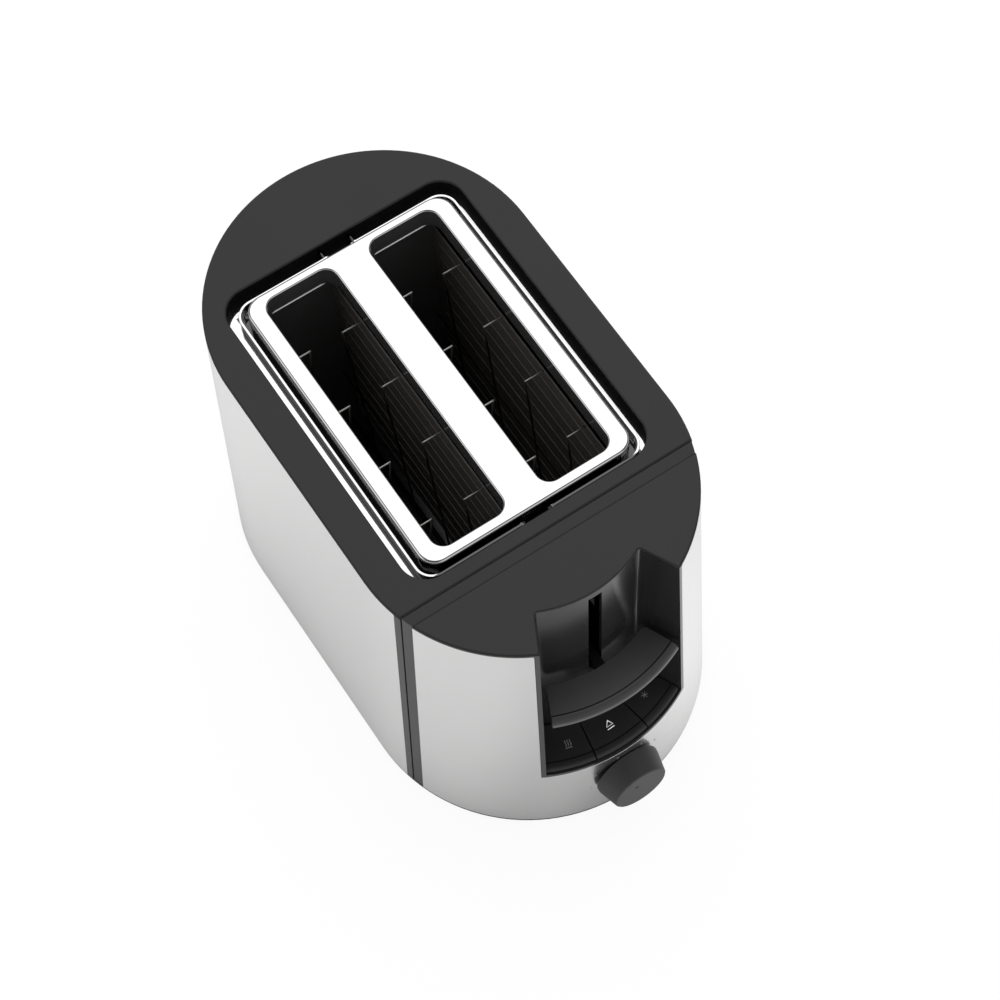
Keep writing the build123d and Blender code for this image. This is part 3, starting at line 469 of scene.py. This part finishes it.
# painted highlight: a white, faintly glowing strip under the rear wall of each slot's liner
edgePlan = {"near": 83.6, "far": 84.6, "low": 184.8, "high": 185.3, "rounding": 0.15, "segments": 2,
            "sides": {"left": (-43.0, -12.4), "right": (12.4, 43.0)}}
for side, (start, end) in edgePlan["sides"].items():
    mesh = bpy.data.meshes.new("liner_glint_" + side)
    shape = bmesh.new()
    bmesh.ops.create_cube(shape, size=1.0)
    low = spot(start, edgePlan["near"], edgePlan["low"])
    high = spot(end, edgePlan["far"], edgePlan["high"])
    bmesh.ops.scale(shape, verts=shape.verts, vec=high - low)
    bmesh.ops.translate(shape, verts=shape.verts, vec=(low + high) / 2)
    bmesh.ops.bevel(shape, geom=shape.edges[:], offset=edgePlan["rounding"] / perMetre,
                    segments=edgePlan["segments"], affect="EDGES")
    shape.to_mesh(mesh)
    shape.free()
    dress(bpy.data.objects.new("liner_glint_" + side, mesh), "housing", "paintedEdgeGlint")

# rolled edge of the steel round the window of the control end
trimPlan = {"halfAngle": 28.8, "low": 56.6, "high": 192.6, "radius": 0.32, "sunk": 0.22, "steps": 40,
            "roundness": 4}


def onWall(degrees, z):
    radius = wallRadius(z) - trimPlan["sunk"]
    turn = math.radians(degrees)
    return spot(radius * math.sin(turn), -layout["endCentre"] - radius * math.cos(turn), z)


halfAngle = trimPlan["halfAngle"]
steps = trimPlan["steps"]
sill = [onWall(halfAngle * (2 * step / steps - 1), trimPlan["low"]) for step in range(steps + 1)]
trimCurve = roundBar("window_edge", trimPlan["radius"], trimPlan["roundness"])
addLine(trimCurve, "POLY", [onWall(-halfAngle, trimPlan["high"]), *sill, onWall(halfAngle, trimPlan["high"])])
dress(bpy.data.objects.new("window_edge", trimCurve), "housing", "railSteel")
print("edges trimmed")

# camera of the photograph
cameraPlan = {
    "focalShare": 2.62231, "sensor": 36.0, "clipEnd": 50, "place": (-255.558, -496.044, 1227.773),
    "right": (0.83528687, -0.54878685, -0.03359812), "down": (-0.50647994, -0.74423562, -0.43542095),
    "ahead": (0.21394838, 0.38071818, -0.89959978),
}
cameraData = bpy.data.cameras.new("camera")
cameraData.sensor_fit = "HORIZONTAL"
cameraData.sensor_width = cameraPlan["sensor"]
cameraData.lens = cameraPlan["focalShare"] * cameraPlan["sensor"]
cameraData.clip_end = cameraPlan["clipEnd"]
camera = bpy.data.objects.new("camera", cameraData)
bpy.context.scene.collection.objects.link(camera)
axes = (Vector(cameraPlan["right"]), -Vector(cameraPlan["down"]), -Vector(cameraPlan["ahead"]))
camera.matrix_world = Matrix.Translation(spot(*cameraPlan["place"])) @ Matrix(axes).transposed().to_4x4()
bpy.context.scene.camera = camera
print("camera placed")

# pale floor, and a dim studio in which reflections find soft boxes
stagePlan = {
    "floorHalf": 4.0, "floorTone": 0.9, "floorRoughness": 0.9, "glowSeen": 0.88, "glowLevel": 1.05,
    # painted light and shade on the floor, seen only in reflections
    "glowMirrored": {"front": 0.05, "left": 0.25, "right": 0.70},
    "leftPool": (-0.06, -0.11), "rightPool": (0.0, 0.08), "rightEnd": (0.13, 0.20),
    "farFade": (0.20, 0.65), "farShare": 0.6, "farShadeTone": 0.2, "horizon": (0.62, 0.42, 0.25),
    "fill": 0.45, "white": 1.0, "roomLevel": 0.07,
    "boxes": {
        "behind": {"heading": (0.33, 0.42, 0.845), "full": 16.0, "edge": 29.0, "level": 1.15},
        "left": {"heading": (-0.75, 0.35, 0.55), "full": 14.0, "edge": 30.0, "level": 0.5},
        "front": {"heading": (0.15, -0.80, 0.58), "full": 10.0, "edge": 30.0, "level": 0.35},
    },
}
floorMesh = bpy.data.meshes.new("floor")
half = stagePlan["floorHalf"]
corners = [(-half, -half, 0), (half, -half, 0), (half, half, 0), (-half, half, 0)]
floorMesh.from_pydata(corners, [], [range(len(corners))])
floor = bpy.data.objects.new("floor", floorMesh)
bpy.context.scene.collection.objects.link(floor)


def raysOf(finish):  # 1 where the ray is seen straight or through glass, and where it is mirrored
    straight = finish.node("ShaderNodeLightPath", {}, {}, "Is Camera Ray")
    through = finish.node("ShaderNodeLightPath", {}, {}, "Is Transmission Ray")
    mirrored = finish.node("ShaderNodeLightPath", {}, {}, "Is Glossy Ray")
    return finish.node("ShaderNodeMath", {"operation": "MAXIMUM"}, {0: straight, 1: through}), mirrored


floorFinish = Finish("paleFloor", {"Base Color": grey(stagePlan["floorTone"]), "Specular IOR Level": 0.0,
                                   "Roughness": stagePlan["floorRoughness"]})
straight, mirrored = raysOf(floorFinish)
pools = stagePlan["glowMirrored"]  # painted light and shade that only mirrored rays see: pools of light on the floor on either side, dimmer in front and far off
leftPool = floorFinish.rise(*stagePlan["leftPool"], 0) * (pools["left"] - pools["front"])
rightPool = floorFinish.rise(*stagePlan["rightPool"], 0) * (1 - floorFinish.rise(*stagePlan["rightEnd"], 0))
pool = pools["front"] + leftPool + rightPool * (pools["right"] - pools["front"])
# painted shade: far off, the floor mirrored in the steel glows darker
far = floorFinish.ramp(floorFinish.reach((0, 0, 0)), *stagePlan["farFade"])
mirroredShare = pool * (1 - far) + far * stagePlan["farShare"]
share = straight * stagePlan["glowSeen"] + mirrored * mirroredShare
glowTone = floorFinish.between(mirrored * far, grey(1.0), grey(stagePlan["farShadeTone"]))
glow = floorFinish.node("ShaderNodeEmission", {}, {"Color": glowTone, "Strength": stagePlan["glowLevel"]})
lit = Wire(floorFinish, floorFinish.shader.outputs[0])
floorFinish.plug(floorFinish.output.inputs[0],
                 floorFinish.node("ShaderNodeMixShader", {}, {0: share, 1: lit, 2: glow}))
floorMesh.materials.append(floorFinish.material)

world = bpy.data.worlds.new("studio")
bpy.context.scene.world = world
studio = Finish("studio", {}, world)
straight, mirrored = raysOf(studio)
heading = studio.node("ShaderNodeTexCoord", {}, {}, "Generated")
upward = studio.node("ShaderNodeSeparateXYZ", {}, {0: heading}, 2)
room = stagePlan["roomLevel"] + studio.ramp(upward, *stagePlan["horizon"], "SMOOTHSTEP")
for plan in stagePlan["boxes"].values():
    near = studio.vector("DOT_PRODUCT", heading, Vector(plan["heading"]).normalized(), "Value")
    edge = math.cos(math.radians(plan["edge"]))
    full = math.cos(math.radians(plan["full"]))
    room = room + studio.ramp(near, edge, full, plan["level"], "SMOOTHSTEP")
level = straight * stagePlan["white"] + mirrored * room + (1 - straight - mirrored) * stagePlan["fill"]
studio.plug(studio.output.inputs[0],
            studio.node("ShaderNodeBackground", {}, {"Color": grey(1.0), "Strength": level}))

lampPlan = {"place": (0.3, 0.5, 1.45), "aim": (0.0, 0.0, 0.15), "size": 1.5, "power": 14.0}
lampData = bpy.data.lights.new("topBox", "AREA")
lampData.shape = "SQUARE"
lampData.size = lampPlan["size"]
lampData.energy = lampPlan["power"]
lamp = bpy.data.objects.new("topBox", lampData)
lamp.visible_glossy = False
bpy.context.scene.collection.objects.link(lamp)
away = Vector(lampPlan["place"]) - Vector(lampPlan["aim"])
lamp.matrix_world = Matrix.Translation(lampPlan["place"]) @ away.to_track_quat("Z", "Y").to_matrix().to_4x4()
bpy.context.scene.view_settings.view_transform = "Standard"
print("stage lit")
